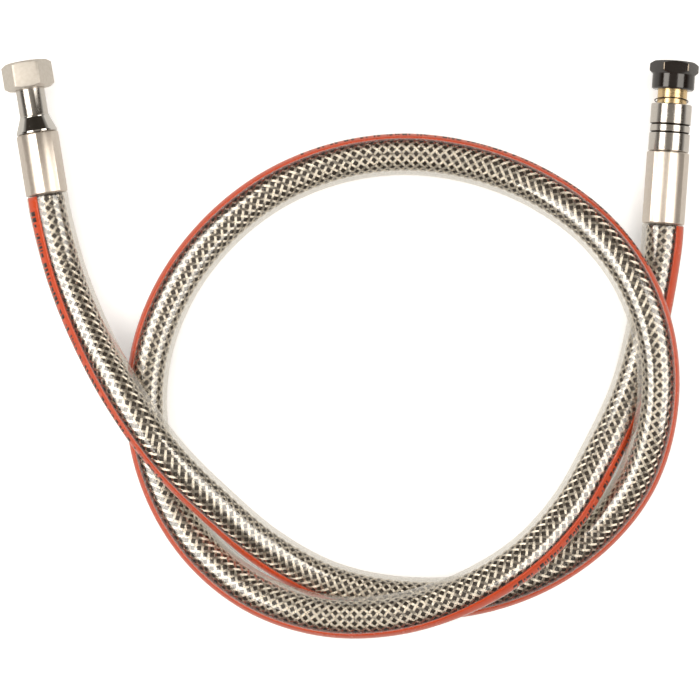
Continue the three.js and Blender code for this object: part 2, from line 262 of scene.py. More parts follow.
# %% [markdown]
# ### Metals
#
# The metals differ mostly in how sharply they mirror. The left nut and the ferrules are nickel-plated. On
# the nut the plating lies over a blasted surface, which scatters what it mirrors and looks nearly white. The
# ferrules were drawn and pressed smooth first, so theirs is a satin that shows soft bands. Chrome is
# polished first: the cone mirrors the lamps as sharp bars, and the necks and the body keep faint tool marks.
#
# The black nut is blacked steel under oil. The blacking is an oxide, so it is glossy but not metallic, and
# the bar's corners are worn to the bare steel. The right neck is turned brass, and the loose ring is dark
# spring wire. Each grain is drawn somewhat coarser than the real one, which is too fine to show.

# %% Metal finishes
def metal(name, first, second, rough, grain_mm, bump_mm=0.0, **fixed):
    """A plated or turned metal: a fine grain, in patches four times its size."""
    patches, grain = (4 * grain_mm, 3.0, 0.5), (grain_mm, 2.0, 0.5)
    return opaque_finish(name, first, second, rough, patches, grain, bump_mm, **{"Metallic": 1.0, **fixed})


satin_nickel = metal("satin_nickel", "#D9CEC2", "#EBE2D8", (0.28, 0.40), 0.5, bump_mm=0.012)
blasted_nickel = metal("blasted_nickel", "#DED7CC", "#F4EFE8", (0.50, 0.62), 0.45, bump_mm=0.02)
polished_chrome = metal("polished_chrome", "#D6D2CC", "#E2DFDA", (0.06, 0.12), 1.2)
turned_chrome = metal("turned_chrome", "#CFC9C2", "#DDD8D2", (0.16, 0.24), 0.8, bump_mm=0.004)
turned_brass = metal("turned_brass", "#E4C088", "#F2DAAE", (0.24, 0.34), 0.6, bump_mm=0.004)
# This finish is the loose ring's spring wire, and also the painted shade in the right body's two grooves.
spring_wire = metal("spring_wire", "#3A3530", "#544C44", (0.25, 0.35), 0.4)
worn_steel = metal("worn_steel", "#8C8074", "#C9BBA8", (0.30, 0.45), 0.5, bump_mm=0.01)
oxide = {"Metallic": 0.0, "IOR": 1.75}
blacked_steel = metal("blacked_steel", "#150F0C", "#241B16", (0.10, 0.20), 0.5, bump_mm=0.01, **oxide)
print("nodes in blacked steel:", len(blacked_steel.node_tree.nodes))

# %% [markdown]
# ### Rubber and fibre
#
# The hose's inner tube is black rubber, which shows between the wires as dark brown gaps. The seal is softer
# rubber, and the gaskets in the nuts are pressed fibre sheet with short fibres of two greens. All three are
# dull, so their roughness is one number.

# %% Rubber and fibre finishes
hose_rubber = opaque_finish("hose_rubber", "#22180F", "#362719", 0.55, (0.7, 4.0, 0.6), bump_mm=0.02)
seal_rubber = opaque_finish("seal_rubber", "#161616", "#222120", 0.5, (0.5, 4.0, 0.6), bump_mm=0.01)
pressed_fibre = opaque_finish("pressed_fibre", "#33503F", "#5C7A63", 0.85, (0.35, 4.0, 0.6), bump_mm=0.03)
print("nodes in pressed fibre:", len(pressed_fibre.node_tree.nodes))

# %% [markdown]
# ### Braid wire
#
# The braid's wires are bright drawn stainless steel, each about a third of a millimetre thick. At the
# photograph's size they can't be told apart, so each strand is modelled as three broader wires side by
# side. A wire is smooth along its length and curved across, so it blurs lamps across itself only. That is
# what Anisotropic does, turned by a tangent that follows each strand's own UV map.

# %% Braid wire finish
drawn_steel = {"Metallic": 1.0, "Anisotropic": 0.4}
braid_wire = opaque_finish("braid_wire", "#E8E0D3", "#F9F3EA", (0.22, 0.32), (2.5, 3.0, 0.5), **drawn_steel)
tree = braid_wire.node_tree
along_strand = add(tree, "ShaderNodeTangent", direction_type="UV_MAP", uv_map="UVMap").outputs["Tangent"]
tree.links.new(along_strand, tree.nodes["Principled BSDF"].inputs["Tangent"])
print("nodes in braid wire:", len(tree.nodes))

# %% [markdown]
# ### Clear PVC
#
# The sheath is clear PVC. Real PVC bends the light that passes it, and a Glass shader could do that, but
# the wires under it would then be lit only by chance rays and come out dark and grainy. So the sheath is
# Transparent, with a thin cream haze. The haze grows where the sheath is seen at a slant, as the longer way
# through the plastic gives.
#
# A gloss lies on top, by Fresnel. It is on the outer faces only, because the inner ones touch the braid. Its
# IOR is above PVC's own 1.53, because the photograph's lamps were far brighter than the plain level here,
# and the plastic's highlights would be too weak beside the steel's.

# %% Clear sheath finish
HAZE = "#F0EBE2"
HAZE_SHARE = (0.04, 0.22)
HAZE_SLANT = (0.3, 0.46)
GLOSS_IOR = 2.2
GLOSS_ROUGHNESS = 0.16

clear_pvc, tree = bare_material("clear_pvc")
clear = add(tree, "ShaderNodeBsdfTransparent", {"Color": paint("#FDFCF9")}).outputs["BSDF"]
haze_top = add(tree, "ShaderNodeBsdfDiffuse", {"Color": paint(HAZE)}).outputs["BSDF"]
haze_through = add(tree, "ShaderNodeBsdfTranslucent", {"Color": paint(HAZE)}).outputs["BSDF"]
haze = add(tree, "ShaderNodeMixShader", {0: 0.5, 1: haze_top, 2: haze_through}).outputs["Shader"]
haze_by_slant = {
    "Value": add(tree, "ShaderNodeLayerWeight", {"Blend": 0.5}).outputs["Facing"],
    "From Min": HAZE_SLANT[0], "From Max": HAZE_SLANT[1], "To Min": HAZE_SHARE[0], "To Max": HAZE_SHARE[1],
}
haze_share = add(tree, "ShaderNodeMapRange", haze_by_slant).outputs["Result"]
plastic = add(tree, "ShaderNodeMixShader", {0: haze_share, 1: clear, 2: haze}).outputs["Shader"]
mirror_share = add(tree, "ShaderNodeFresnel", {"IOR": GLOSS_IOR}).outputs["Fac"]
inner_face = add(tree, "ShaderNodeNewGeometry").outputs["Backfacing"]
outer_face = add(tree, "ShaderNodeMath", {0: 1.0, 1: inner_face}, operation="SUBTRACT").outputs["Value"]
gloss_share = add(tree, "ShaderNodeMath", {0: mirror_share, 1: outer_face}, operation="MULTIPLY").outputs["Value"]
gloss = add(tree, "ShaderNodeBsdfGlossy", {"Color": paint("#FFFFFF"), "Roughness": GLOSS_ROUGHNESS}).outputs["BSDF"]
sheath = add(tree, "ShaderNodeMixShader", {0: gloss_share, 1: plastic, 2: gloss}).outputs["Shader"]
add(tree, "ShaderNodeOutputMaterial", {"Surface": sheath})
print("nodes in clear PVC:", len(tree.nodes))

# %% [markdown]
# ### Coloured PVC
#
# The stripe is the same PVC with an orange pigment, in faint streaks, and a dull black print runs along it.
# Both have the faint bloom that soft PVC gets, which a pale Sheen gives.

# %% Stripe and print finishes
soft_pvc = {"IOR": 1.53, "Sheen Weight": 0.8, "Sheen Roughness": 0.3, "Sheen Tint": paint("#FFEAE0")}
orange_pvc = opaque_finish("orange_pvc", "#DC4A20", "#E6582C", (0.18, 0.3), (6.0, 3.0, 0.5), **soft_pvc)
print_ink = opaque_finish("print_ink", "#2A1712", "#3A221A", (0.3, 0.4), (0.8, 3.0, 0.5), **soft_pvc)
print("finishes so far:", len(bpy.data.materials))

# %% [markdown]
# ## The layers of the hose
#
# Each layer is a mesh made in code, row by row along the line, because no operator can weave. A row is the
# same number of points round a section. Neighbouring rows are joined by quads, and the two ends are closed.

# %% Mesh from rows
def mesh_object(name, points, faces, finish, uv=None):
    """A smooth-shaded object from points and quads, with one material and an optional UV for each point."""
    mesh = bpy.data.meshes.new(name)
    mesh.from_pydata(points, [], faces)
    mesh.polygons.foreach_set("use_smooth", np.ones(len(faces), bool))
    if uv is not None:
        layer = mesh.uv_layers.new(name="UVMap")
        corner_points = np.empty(len(mesh.loops), int)
        mesh.loops.foreach_get("vertex_index", corner_points)
        layer.data.foreach_set("uv", uv[corner_points].astype(np.float32).ravel())
    mesh.materials.append(finish)
    made = bpy.data.objects.new(name, mesh)
    bpy.context.scene.collection.objects.link(made)
    return made


def tube_faces(rows, around, first=0):
    """Quads between rows of points that go round a closed section, and a face at each end."""
    row, side = np.meshgrid(np.arange(rows - 1), np.arange(around), indexing="ij")
    here, beside = row * around + side, row * around + (side + 1) % around
    quads = np.stack([here, beside, beside + around, here + around], axis=-1).reshape(-1, 4) + first
    start = tuple(int(first + i) for i in reversed(range(around)))
    end = tuple(int(first + (rows - 1) * around + i) for i in range(around))
    return [*map(tuple, quads.tolist()), start, end]


# %% [markdown]
# ## Rubber tube and sheath
#
# The rubber tube only shows through the gaps of the braid. The sheath ends against the two ferrules with a
# rounded shoulder, and a squeezed neck goes on inside them, so that no gap shows at either mouth. The rows
# stand closer together over the shoulders. Each has a share of the way from the neck's width to the full one.

# %% Rubber tube and sheath
HOSE_DIAMETER = 22.4
RUBBER_DIAMETER = 15.8
NECK_DIAMETER = 18.6
SHEATH_SIDES = 64
RUBBER_SIDES = 32
HOSE_STEP = 3.0
SHOULDER = np.array([(-3.0, 0.0), (-0.35, 0.0), (-0.3, 0.35), (0.0, 0.75), (0.5, 0.94), (1.3, 1.0)])


def hose_tube(name, s, radius, sides, finish):
    """A round tube along the hose, with its radius given at each distance s."""
    angle = np.linspace(0, 2 * np.pi, sides, endpoint=False)
    points = on_hose(s[:, None], angle[None, :], radius[:, None])
    return mesh_object(name, points.reshape(-1, 3), tube_faces(len(s), sides), finish)


hose_row_count = int(HOSE_LENGTH / (HOSE_STEP * MM))
shoulder = SHOULDER[:, 0] * MM
between_shoulders = np.linspace(shoulder[-1], HOSE_LENGTH - shoulder[-1], hose_row_count)[1:-1]
s = np.concatenate([shoulder, between_shoulders, HOSE_LENGTH - shoulder[::-1]])
share = np.concatenate([SHOULDER[:, 1], np.ones(len(between_shoulders)), SHOULDER[::-1, 1]])
neck, full = NECK_DIAMETER / 2 * MM, HOSE_DIAMETER / 2 * MM
hose_sheath = hose_tube("hose_sheath", s, neck + (full - neck) * share, SHEATH_SIDES, clear_pvc)
hose_inner = hose_tube("hose_rubber", s, np.full(len(s), RUBBER_DIAMETER / 2 * MM), RUBBER_SIDES, hose_rubber)
sheath_path = on_hose(s, 0.0, 0.0)
print(f"{len(s)} rows, {len(hose_sheath.data.polygons)} faces on the sheath")

# %% [markdown]
# ## The braid
#
# The braid is a sleeve of flat strands, each of several wires side by side. A picture of a weave on the tube
# would look flat at the edges, so the strands are real. A strand's section is three wires on a flat base,
# and each wire's arch is given in shares of its width and rise.

# %% Section of a strand
STRAND_WIDTH = 1.45
STRAND_BASE = 0.16
STRAND_TAPER = 0.8
WIRES = 3
WIRE_RISE = 0.26
WIRE_ARCH = np.array([(-0.5, 0.0), (-0.36, 0.72), (0.0, 1.0), (0.36, 0.72)])

wire_width, half_width = STRAND_WIDTH / WIRES, STRAND_WIDTH / 2
wire_arch = WIRE_ARCH * (wire_width, WIRE_RISE)
wire_middles = (np.arange(WIRES) - (WIRES - 1) / 2) * wire_width
section = np.concatenate([wire_arch + (middle, 0.0) for middle in wire_middles])
base = half_width * STRAND_TAPER
section = np.vstack([section, (half_width, 0.0), (base, -STRAND_BASE), (-base, -STRAND_BASE)])
across, rise = section.T
print(len(section), "points round a strand")

# %% [markdown]
# ### Weaving
#
# Ten strands wind one way and ten the other, at 46 degrees to the hose, and each goes over two and under
# two. Where strand k of one family meets strand j of the other, the first is on top if k + j leaves 0 or 1
# when divided by four. A cosine that follows that rule lifts and sinks each strand smoothly between its
# crossings. The section runs at right angles to the strand, on the curve of the hose. The strand's UV map
# has one unit across and its length in metres along.
#
# A piece of more than 200,000 triangles would be thinned in its STL file, so five strands make a piece.

# %% Braid strands
STRANDS = 10
BRAID_RADIUS = 8.4
BRAID_LEAD = 50.8
BRAID_SLANT = math.atan(2 * math.pi * BRAID_RADIUS / BRAID_LEAD)
BRAID_STEP = 1.5
BRAID_START = 0.9
WEAVE_LIFT = 0.25
BRAID_PIECES = 4


def strand(number, turn):
    """Points, UVs and count of rows of one strand. turn is 1 or -1, the way that its family winds."""
    count = int((HOSE_LENGTH / MM - 2 * BRAID_START) / BRAID_STEP)
    s = np.linspace(BRAID_START, HOSE_LENGTH / MM - BRAID_START, count)
    crossing = 2 * number + turn * 2 * STRANDS * s / BRAID_LEAD
    lift = turn * WEAVE_LIFT * np.cos(math.pi / 2 * (crossing - 0.5))
    angle = 2 * math.pi * (number / STRANDS + turn * s / BRAID_LEAD)
    back, sideways = across * math.sin(BRAID_SLANT), across * math.cos(BRAID_SLANT)
    points = on_hose(
        (s[:, None] - turn * back[None, :]) * MM,
        angle[:, None] + sideways[None, :] / BRAID_RADIUS,
        (BRAID_RADIUS + lift[:, None] + rise[None, :]) * MM,
    )
    u = np.broadcast_to(across / STRAND_WIDTH + 0.5, (count, len(across)))
    v = np.broadcast_to((s / math.cos(BRAID_SLANT) * MM)[:, None], (count, len(across)))
    return points.reshape(-1, 3), np.stack([u, v], axis=-1).reshape(-1, 2), count


braid = []
per_piece = 2 * STRANDS // BRAID_PIECES
families = [(number, turn) for turn in (1, -1) for number in range(STRANDS)]
for piece in range(BRAID_PIECES):
    points, uvs, faces = [], [], []
    for number, turn in families[piece * per_piece : (piece + 1) * per_piece]:
        strand_points, strand_uvs, count = strand(number, turn)
        faces += tube_faces(count, len(across), first=sum(map(len, points)))
        points.append(strand_points)
        uvs.append(strand_uvs)
    name = f"hose_braid_{piece + 1}"
    braid.append(mesh_object(name, np.concatenate(points), faces, braid_wire, np.concatenate(uvs)))
print(f"slant {math.degrees(BRAID_SLANT):.1f} degrees")
print("triangles in the braid:", sum(2 * len(piece.data.polygons) for piece in braid))

# %% [markdown]
# ## The stripe
#
# The stripe is let into the sheath along its whole length. The hose is twisted a little as it lies, so the
# stripe turns from the side towards the top near the ferrules and at the lower right. Its angles from the
# top, in degrees at distances in millimetres along the hose, are read off the photograph. They are joined by
# straight lines, and a mean over 30 mm takes the corners off.

# %% Stripe
STRIPE_HALF_WIDTH = 20.0
STRIPE_DEPTH = 0.8
STRIPE_PROUD = 0.02
STRIPE_END_GAP = 0.4
STRIPE_COLUMNS = 9
SMOOTHED_OVER = 30.0
SMOOTHING_STEPS = 13
STRIPE_ANGLES = np.array([
    (0, 46), (30, 51), (60, 55), (100, 61), (140, 67), (200, 69), (240, 64), (280, 65), (400, 70),
    (850, 69), (1000, 70), (1100, 69), (1144, 65), (1166, 60), (1187, 53), (1209, 50), (1240, 54),
    (1300, 57), (1360, 54), (1409, 57),
])


def stripe_angle(s):
    """The angle of the stripe's middle from the top of the hose, in radians, smoothed along the hose."""
    window = np.linspace(-SMOOTHED_OVER / 2, SMOOTHED_OVER / 2, SMOOTHING_STEPS) * MM
    around = np.asarray(s)[..., None] + window
    return np.radians(np.interp(around, STRIPE_ANGLES[:, 0] * MM, STRIPE_ANGLES[:, 1]).mean(axis=-1))


def strip(s, low, high, inside, outside, columns, first=0):
    """A closed strip on the hose between two angles from the stripe's middle and two radii."""
    arc = np.radians(np.linspace(low, high, columns))
    offsets = np.concatenate([arc, arc[::-1]])
    radii = np.concatenate([np.full(columns, outside), np.full(columns, inside)]) * MM
    points = on_hose(s[:, None], stripe_angle(s)[:, None] + offsets[None, :], radii[None, :])
    return points.reshape(-1, 3), tube_faces(len(s), 2 * columns, first)


outside = HOSE_DIAMETER / 2 + STRIPE_PROUD
s = np.linspace(STRIPE_END_GAP * MM, HOSE_LENGTH - STRIPE_END_GAP * MM, hose_row_count)
points, faces = strip(s, -STRIPE_HALF_WIDTH, STRIPE_HALF_WIDTH, outside - STRIPE_DEPTH, outside, STRIPE_COLUMNS)
hose_stripe = mesh_object("hose_stripe", points, faces, orange_pvc)
print(len(s), "rows on the stripe")

# %% [markdown]
# ## The print
#
# On the real hose the stripe carries words. They are left off, and plain bars of two heights stand in their
# place, on the three stretches where the photograph shows print. Heights are degrees round the hose, and
# widths and gaps are millimetres along it. Chance picks them from short lists, from a fixed seed, so that
# each run draws the same bars.

# %% Print
PRINT_HEIGHT = 20.0
PRINT_MIDDLE = 4.0
PRINT_PROUD = 0.03
PRINT_DEPTH = 0.1
PRINT_COLUMNS = 4
PRINTED = [(8, 165), (575, 775), (1195, 1320)]
BAR_WIDTHS = [0.8, 1.5, 2.3]
BAR_HEIGHTS = [0.6, 1.0, 1.0]
BAR_GAPS = [0.7, 0.9, 1.3, 3.2]

chance = np.random.default_rng(5)
print_radii = (outside - PRINT_DEPTH, outside + PRINT_PROUD)
points, faces = [], []
for start, end in PRINTED:
    while start < end:
        width = chance.choice(BAR_WIDTHS)
        height = PRINT_HEIGHT * chance.choice(BAR_HEIGHTS)
        low, high = PRINT_MIDDLE - height / 2, PRINT_MIDDLE + height / 2
        bar = np.linspace(start, start + width, 3) * MM
        bar_points, bar_faces = strip(bar, low, high, *print_radii, PRINT_COLUMNS, first=sum(map(len, points)))
        points.append(bar_points)
        faces += bar_faces
        start += width + chance.choice(BAR_GAPS)
hose_print = mesh_object("hose_print", np.concatenate(points), faces, print_ink)
print("bars in the print:", len(points))

# %% [markdown]
#
# The hose is the free cord of this object. Its real length between the two ferrules is the line's length,
# because the photograph shows it from end to end. Everything that makes it up rides on the same body.

for layer in (hose_sheath, hose_inner, *braid, hose_stripe, hose_print):
    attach(layer, "hose_line")
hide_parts("hose")

# %% [markdown]
# ## Turned pieces
#
# Most of a fitting is turned on a lathe. Here too: a ring of edges is added at the first corner of the
# section, and extruded and scaled from corner to corner until it comes back to where it began. A Screw
# modifier could turn a drawn section as well, but this way each corner of the section can be read off as a
# radius and a height, as on a drawing. Merging the last ring into the first closes the piece.

# %% Turned pieces
TURNED_SIDES = 96
MERGE_WITHIN = 0.002


def deselect():
    """Leaves nothing selected, because an operator acts on all that is."""
    if bpy.context.object and bpy.context.object.mode != "OBJECT":
        bpy.ops.object.mode_set(mode="OBJECT")
    bpy.ops.object.select_all(action="DESELECT")


def turned(name, corners, sides=TURNED_SIDES):
    """Turns a closed section, given as (radius, height) corners in millimetres."""
    deselect()
    radius, height = corners[0]
    bpy.ops.mesh.primitive_circle_add(vertices=sides, radius=radius * MM, location=(0, 0, height * MM))
    piece = bpy.context.object
    bpy.ops.object.transform_apply(location=True)
    bpy.ops.object.mode_set(mode="EDIT")
    for next_radius, next_height in [*corners[1:], corners[0]]:
        bpy.ops.mesh.extrude_edges_move()
        bpy.ops.transform.translate(value=(0, 0, (next_height - height) * MM))
        grow = next_radius / radius
        bpy.ops.transform.resize(value=(grow, grow, 1), center_override=(0, 0, 0))
        radius, height = next_radius, next_height
    bpy.ops.mesh.select_all(action="SELECT")
    bpy.ops.mesh.remove_doubles(threshold=MERGE_WITHIN * MM)
    bpy.ops.mesh.normals_make_consistent(inside=False)
    bpy.ops.object.mode_set(mode="OBJECT")
    piece.name = piece.data.name = name
    return piece


# %% [markdown]
# ## Finishing a piece
#
# No real edge is quite sharp, so a narrow Bevel rounds each one that turns by more than 35 degrees, and
# those edges catch the light. What then still turns by more than 18 degrees is shaded as an edge, and the
# rest as smooth. The sides of a turned piece turn by 4 degrees or less, so they stay smooth.
#
# The fittings are modelled upright, with the ferrule's mouth at the origin, and laid down when finished.

# %% Finishing a piece
BEVEL_FROM = math.radians(35)
SMOOTH_UP_TO = math.radians(18)


def apply_modifier(piece, kind, **settings):
    """Adds a modifier to the piece, sets it and applies it."""
    deselect()
    bpy.context.view_layer.objects.active = piece
    piece.select_set(True)
    modifier = piece.modifiers.new(kind.title(), kind)
    for name, value in settings.items():
        setattr(modifier, name, value)
    bpy.ops.object.modifier_apply(modifier=modifier.name)


def finish_piece(piece, finish, side, body, node, edge_mm=0.12):
    """Rounds a piece's sharp edges, lays it down with its fitting, attaches it to its body and hides the CAD node
    that it stands for.
    """
    if edge_mm:
        edges = {"width": edge_mm * MM, "segments": 2, "limit_method": "ANGLE", "angle_limit": BEVEL_FROM}
        apply_modifier(piece, "BEVEL", **edges)
    deselect()
    piece.select_set(True)
    bpy.context.view_layer.objects.active = piece
    bpy.ops.object.shade_smooth_by_angle(angle=SMOOTH_UP_TO)
    piece.matrix_world = side
    bpy.ops.object.transform_apply(location=True, rotation=True, scale=True)
    if not piece.data.materials:
        piece.data.materials.append(finish)
    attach(piece, body)
    if node:
        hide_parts(node)
    print(f"{piece.name}: {len(piece.data.polygons)} faces")


# %% [markdown]
# ## Sizes of the fittings
#
# These are the CAD model's sizes, in millimetres. What seats on another piece takes its height from it, as
# there: the left nut's foot follows from the ferrule, the cone and the neck.

# %% Sizes of the fittings
STEM_BORE = 9.5
LOCK_GROOVE = 14.6
COLLAR_DIAMETER = 18.0
COLLAR_THICKNESS = 2.5
NUT_LIP = 2.6
LEFT_FERRULE = {"length": 33.0, "diameter": 22.6}
RIGHT_FERRULE = {"length": 38.7, "diameter": 22.8}
LEFT_NECK = 15.4
RIGHT_NECK = 15.8

LEFT_CONE_FOOT = LEFT_FERRULE["length"] + CLEARANCE
LEFT_CONE_TOP = LEFT_CONE_FOOT + 8.4
LEFT_NUT_FOOT = LEFT_CONE_TOP + 15.5
BODY_FOOT = RIGHT_FERRULE["length"] + CLEARANCE
BODY_TOP = BODY_FOOT + 25.4
RIGHT_NUT_FOOT = BODY_TOP + 7.8
print("nuts start", LEFT_NUT_FOOT, "and", RIGHT_NUT_FOOT, "mm from their ferrules' mouths")

# %% [markdown]
# ## Crimped ferrules
#
# A ferrule starts as a turned steel sleeve. A press with eight dies squeezes it onto the hose, and each die
# leaves a shallow face with a fine ridge on both sides, where two dies didn't quite meet. So the sleeve is
# turned first, and then the points of its outer wall are pulled in between the ridges. Its far end has a
# lip inside, which locks into a groove of the stem.

# %% Crimped ferrules
LOCK_LIP = 2.2
FERRULE_WALL = 1.2
FERRULE_EDGE = 0.6
FERRULE_SIDES = 128
CRIMP_FACES = 8
CRIMP_DEPTH = 0.35
OUTER_WALL = 1.0


def crimp(piece, outer):
    """Pulls the outer wall's points in between eight ridges, deepest at the middle of each die."""
    step = 2 * math.pi / CRIMP_FACES
    for vertex in piece.data.vertices:
        x, y, _ = vertex.co
        radius = math.hypot(x, y)
        if radius < (outer - OUTER_WALL) * MM:
            continue
        from_ridge = (math.atan2(y, x) - math.pi / 2) % step / step
        arch = 1 - (2 * from_ridge - 1) ** 4
        shrink = 1 - CRIMP_DEPTH * MM * arch / radius
        vertex.co.x *= shrink
        vertex.co.y *= shrink


def crimp_sleeve(name, node, length, diameter, side):
    """A ferrule with its lip at the far end, crimped, finished and laid down."""
    outer = diameter / 2
    inner = outer - CRIMP_DEPTH - FERRULE_WALL
    lip = LOCK_GROOVE / 2 + CLEARANCE
    piece = turned(name, [
        (inner + FERRULE_EDGE / 2, 0), (outer - FERRULE_EDGE, 0), (outer, FERRULE_EDGE),
        (outer, length - FERRULE_EDGE), (outer - FERRULE_EDGE, length), (lip, length),
        (lip, length - LOCK_LIP), (inner, length - LOCK_LIP), (inner, FERRULE_EDGE / 2),
    ], sides=FERRULE_SIDES)
    crimp(piece, outer)
    finish_piece(piece, satin_nickel, side, "hose_line", node)


crimp_sleeve("left_crimp_sleeve", "left_ferrule", **LEFT_FERRULE, side=LEFT)
crimp_sleeve("right_crimp_sleeve", "right_ferrule", **RIGHT_FERRULE, side=RIGHT)

# %% [markdown]
# ## Left tailpiece
#
# The left tailpiece is one long chromed turning: a sealing collar inside the nut, a neck, a small foot ring,
# a cone that mirrors the dark room, and a stem that the ferrule hides. The cone was polished and the neck
# was left as turned, so the piece has two finishes. Only what can be seen is given its full section. The
# stem runs on inside the hose, out of sight, and stays with the CAD model.

# %% Left tailpiece
STEM_SHOWN = 4.0
CONE_RIM = 1.0
NECK_FROM = 1.0
FOOT_RING = [(0.0, 0.9), (0.25, 0.75), (0.42, 0.45), (0.35, 0.0)]

left_face = LEFT_NUT_FOOT + NUT_LIP + CLEARANCE + COLLAR_THICKNESS
cone_radius = LEFT_FERRULE["diameter"] / 2 - CRIMP_DEPTH
left_tail = turned("left_chrome_tail", [
    (COLLAR_DIAMETER / 2, left_face), (COLLAR_DIAMETER / 2, left_face - COLLAR_THICKNESS),
    (LEFT_NECK / 2, left_face - COLLAR_THICKNESS),
    *((LEFT_NECK / 2 + out, LEFT_CONE_TOP + up) for out, up in FOOT_RING),
    (cone_radius, LEFT_CONE_FOOT + CONE_RIM), (cone_radius, LEFT_CONE_FOOT),
    (LOCK_GROOVE / 2, LEFT_CONE_FOOT), (LOCK_GROOVE / 2, LEFT_CONE_FOOT - STEM_SHOWN),
    (STEM_BORE / 2, LEFT_CONE_FOOT - STEM_SHOWN), (STEM_BORE / 2, left_face),
])
left_tail.data.materials.append(polished_chrome)
left_tail.data.materials.append(turned_chrome)
for face in left_tail.data.polygons:
    face.material_index = int(face.center.z > (LEFT_CONE_TOP + NECK_FROM) * MM)
finish_piece(left_tail, polished_chrome, LEFT, "hose_line", "left_tailpiece")

# %% [markdown]
# ## Right body
#
# The right end is made of two pieces: a brass tailpiece is plugged into a chromed body, and two rolled
# grooves hold it there. The body's section goes up its outside, over the grooves, and down the socket.
# Little light reaches into such narrow grooves, so their faces get the dark finish of the spring wire as painted
# shade.

# %% Right body
BODY_RADIUS = 10.9
BODY_CHAMFER = 0.4
BAND_RADIUS = 10.6
GROOVE_FLOOR = 9.9
GROOVE_THIRD = 0.3
LOWER_GROOVE = BODY_FOOT + 9.6
UPPER_GROOVE = LOWER_GROOVE + 4.3
SOCKET_RADIUS = RIGHT_NECK / 2 + CLEARANCE
SOCKET_FOOT = BODY_TOP - 20.4


def rolled_groove(foot, below, above):
    """Corners of a rolled groove, going up: it falls from one radius and rises to the other."""
    heights = [foot + GROOVE_THIRD * third for third in range(4)]
    return list(zip((below, GROOVE_FLOOR, GROOVE_FLOOR, above), heights))


right_body = turned("right_chrome_body", [
    (BODY_RADIUS - BODY_CHAMFER, BODY_FOOT), (BODY_RADIUS, BODY_FOOT + BODY_CHAMFER),
    *rolled_groove(LOWER_GROOVE, BODY_RADIUS, BAND_RADIUS),
    *rolled_groove(UPPER_GROOVE, BAND_RADIUS, BODY_RADIUS),
    (BODY_RADIUS, BODY_TOP - BODY_CHAMFER), (BODY_RADIUS - BODY_CHAMFER, BODY_TOP),
    (SOCKET_RADIUS, BODY_TOP), (SOCKET_RADIUS, SOCKET_FOOT), (STEM_BORE / 2, SOCKET_FOOT),
    (STEM_BORE / 2, BODY_FOOT - STEM_SHOWN), (LOCK_GROOVE / 2, BODY_FOOT - STEM_SHOWN),
    (LOCK_GROOVE / 2, BODY_FOOT),
])
right_body.data.materials.append(turned_chrome)
right_body.data.materials.append(spring_wire)
# The faces inside the two grooves take the spring wire's dark finish as painted shade.
for face in right_body.data.polygons:
    outward = math.hypot(face.center.x, face.center.y) > (GROOVE_FLOOR - GROOVE_THIRD) * MM
    heights = [face.center.z / MM - foot for foot in (LOWER_GROOVE, UPPER_GROOVE)]
    face.material_index = int(outward and any(0 < height < 3 * GROOVE_THIRD for height in heights))
finish_piece(right_body, turned_chrome, RIGHT, "hose_line", "right_body")

# %% [markdown]
# ## Right tailpiece
#
# Brass is soft and turns cleanly, so the tailpiece is a plain turning: a sealing collar, a neck and a plug.
# Its bare yellow metal shows between the body and the nut. The plug ends 0.4 mm above the socket's foot.

# %% Right tailpiece
PLUG_FOOT = BODY_TOP - 20.0

right_face = RIGHT_NUT_FOOT + NUT_LIP + CLEARANCE + COLLAR_THICKNESS
right_tail = turned("right_brass_tail", [
    (COLLAR_DIAMETER / 2, right_face), (COLLAR_DIAMETER / 2, right_face - COLLAR_THICKNESS),
    (RIGHT_NECK / 2, right_face - COLLAR_THICKNESS), (RIGHT_NECK / 2, PLUG_FOOT),
    (STEM_BORE / 2, PLUG_FOOT), (STEM_BORE / 2, right_face),
])
finish_piece(right_tail, turned_brass, RIGHT, "hose_line", "right_tailpiece")

# %% [markdown]
# ## Union nuts
#
# A union nut is cut from hexagon bar. Its six long corners are slightly rounded, and a lathe tool chamfers
# both ends, which leaves a curved edge on each flat. So the bar is a cylinder with six sides and bevelled
# corners, and a Boolean keeps only what lies inside a turned blank with the chamfers and the bore.

# %% Hexagon bar
CORNER_SEGMENTS = 6
TAN_30 = math.tan(math.pi / 6)


def hex_bar(name, flats, foot, height, corner, finish, corner_finish=None):
    """A hexagon bar on the nut's axis, lying on a flat once laid down, with rounded long corners."""
    deselect()
    bpy.ops.mesh.primitive_cylinder_add(
        vertices=6, radius=flats / math.sqrt(3) * MM, depth=height * MM,
        location=(0, 0, (foot + height / 2) * MM), rotation=(0, 0, math.pi / 6),
    )
    bar = bpy.context.object
    bar.name = bar.data.name = name
    bpy.ops.object.transform_apply(location=True, rotation=True)
    bar.data.materials.append(finish)
    if corner_finish:
        bar.data.materials.append(corner_finish)
    bpy.ops.object.mode_set(mode="EDIT")
    bpy.ops.mesh.select_all(action="DESELECT")
    bpy.ops.object.mode_set(mode="OBJECT")
    for edge in bar.data.edges:
        low, high = (bar.data.vertices[i].co.z for i in edge.vertices)
        edge.select = abs(high - low) > height / 2 * MM
    bpy.ops.object.mode_set(mode="EDIT")
    bpy.ops.mesh.select_mode(type="EDGE")
    bpy.ops.mesh.bevel(offset=corner * TAN_30 * MM, segments=CORNER_SEGMENTS, material=1 if corner_finish else -1)
    bpy.ops.object.mode_set(mode="OBJECT")
    return bar


def keep_inside(piece, blank):
    """Keeps what of the piece lies inside the blank, and deletes the blank."""
    apply_modifier(piece, "BOOLEAN", operation="INTERSECT", solver="EXACT", object=blank)
    bpy.data.objects.remove(blank)
    return piece


def hex_reach(flats, chamfer):
    """Half the bar's width over its flats and its corners, and how far a chamfer runs down the corners."""
    flat, corner = flats / 2, flats / math.sqrt(3)
    return flat, corner, (corner - flat) * TAN_30 + chamfer


